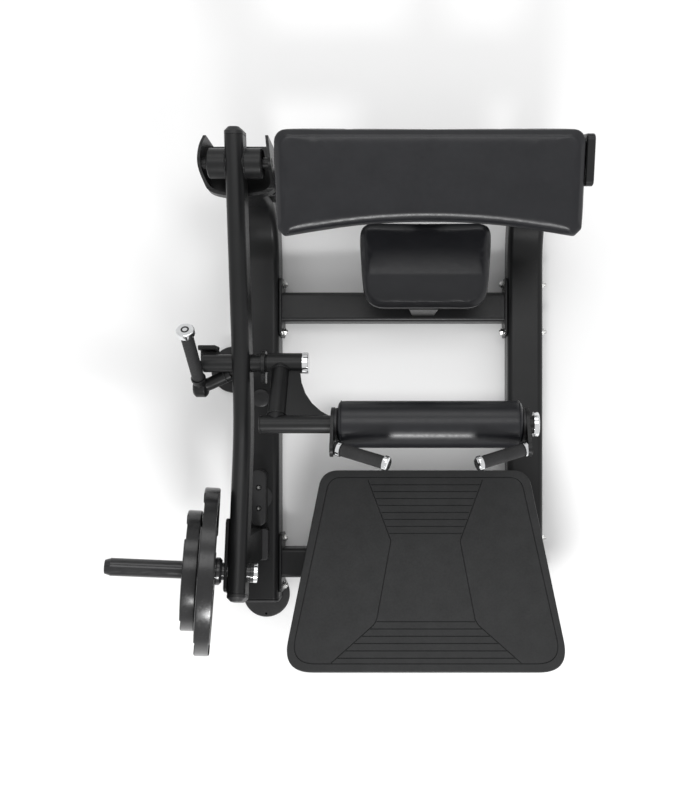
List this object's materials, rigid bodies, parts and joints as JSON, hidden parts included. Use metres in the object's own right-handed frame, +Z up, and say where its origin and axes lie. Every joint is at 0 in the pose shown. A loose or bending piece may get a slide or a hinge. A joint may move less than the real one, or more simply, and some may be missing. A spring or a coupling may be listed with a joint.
{
  "type": "plate-loaded hip thrust machine",
  "caption": "Plate-loaded hip-thrust machine: bent-tube frame, sloped back pad, low seat, slanted foot plate and a side lever arm carrying a padded hip roller and weight plates.",
  "frame": {"origin": "bottom centre of the bounding box, on the floor", "axes": "+Z up, +Y towards the back-pad end, -Y towards the foot plate, -X towards the movement arm and weight horn"},
  "size_m": [1.274, 1.504, 0.6857],
  "materials": {
    "frame_paint": "satin textured powder coat",
    "chrome": "polished",
    "vinyl": "satin grained upholstery vinyl",
    "foot_mat_rubber": "matt moulded rubber",
    "plate_iron": "black hammered enamel",
    "grip_rubber": "matt textured grip rubber",
    "black_plastic": "matt moulded plastic and rubber"
  },
  "bodies": {
    "frame": {"left_rail": "frame_paint", "right_rail": "frame_paint", "left_rail_end_cap": "black_plastic", "right_rail_end_cap": "black_plastic", "rear_cross_member": "frame_paint", "front_cross_member": "frame_paint", "left_flange_bolt_1": "chrome", "left_flange_bolt_2": "chrome", "left_flange_bolt_3": "chrome", "left_flange_bolt_4": "chrome", "left_front_foot": "black_plastic", "left_rear_foot": "black_plastic", "right_flange_bolt_1": "chrome", "right_flange_bolt_2": "chrome", "right_flange_bolt_3": "chrome", "right_flange_bolt_4": "chrome", "right_front_foot": "black_plastic", "right_rear_foot": "black_plastic", "outrigger_foot": "black_plastic", "outrigger_bracket": "frame_paint", "stop_pad": "black_plastic", "rail_bumper": "black_plastic", "pivot_cradle": "frame_paint", "pivot_pin": "frame_paint", "back_pad": "vinyl", "back_pad_board": "frame_paint", "back_pad_carrier": "frame_paint", "back_pad_mast": "frame_paint", "seat_pad": "vinyl", "seat_pan": "frame_paint", "seat_post": "frame_paint", "foot_mat": "foot_mat_rubber", "foot_plate_pan": "frame_paint", "left_foot_plate_bracket": "frame_paint", "right_foot_plate_bracket": "frame_paint"},
    "arm": {"main_arm": "frame_paint", "arm_rear_cap": "black_plastic", "arm_front_cap": "black_plastic", "pivot_hub": "frame_paint", "stop_leg": "frame_paint", "horn_plate": "frame_paint", "weight_horn": "frame_paint", "horn_inner_cap": "chrome"},
    "hip_pad": {"cross_shaft": "frame_paint", "cross_shaft_cap": "chrome", "lock_collar": "frame_paint", "hip_pad_bracket": "frame_paint", "hip_pad_bar": "frame_paint", "hip_pad_bar_cap": "chrome", "left_handle": "frame_paint", "left_handle_grip": "grip_rubber", "left_handle_cap": "chrome", "right_handle": "frame_paint", "right_handle_grip": "grip_rubber", "right_handle_cap": "chrome", "lever_grip": "grip_rubber", "lever_cap": "chrome"},
    "roller": {"hip_roller_pad": "vinyl"},
    "large_plate": {"large_weight_plate": "plate_iron"},
    "small_plate": {"small_weight_plate": "plate_iron"}
  },
  "joints": [
    {"name": "arm_lift", "type": "hinge", "parent": "frame", "child": "arm", "pos_m": [-0.29001, 0.65456, 0.465], "axis": [-1, 0, 0], "range_deg": [0, 32]},
    {"name": "hip_pad_swing", "type": "hinge", "parent": "arm", "child": "hip_pad", "pos_m": [-0.26001, 0.12556, 0.368], "axis": [-1, 0, 0], "range_deg": [-20, 25]},
    {"name": "roller_spin", "type": "hinge", "parent": "hip_pad", "child": "roller", "pos_m": [0.22899, -0.04544, 0.48], "axis": [1, 0, 0], "continuous": true},
    {"name": "large_plate_slide", "type": "slide", "parent": "arm", "child": "large_plate", "axis": [-0.9809, 0.0686, 0.1822], "range_m": [0, 0.08]},
    {"name": "small_plate_slide", "type": "slide", "parent": "large_plate", "child": "small_plate", "axis": [-0.9809, 0.0686, 0.1822], "range_m": [0, 0.09]}
  ]
}
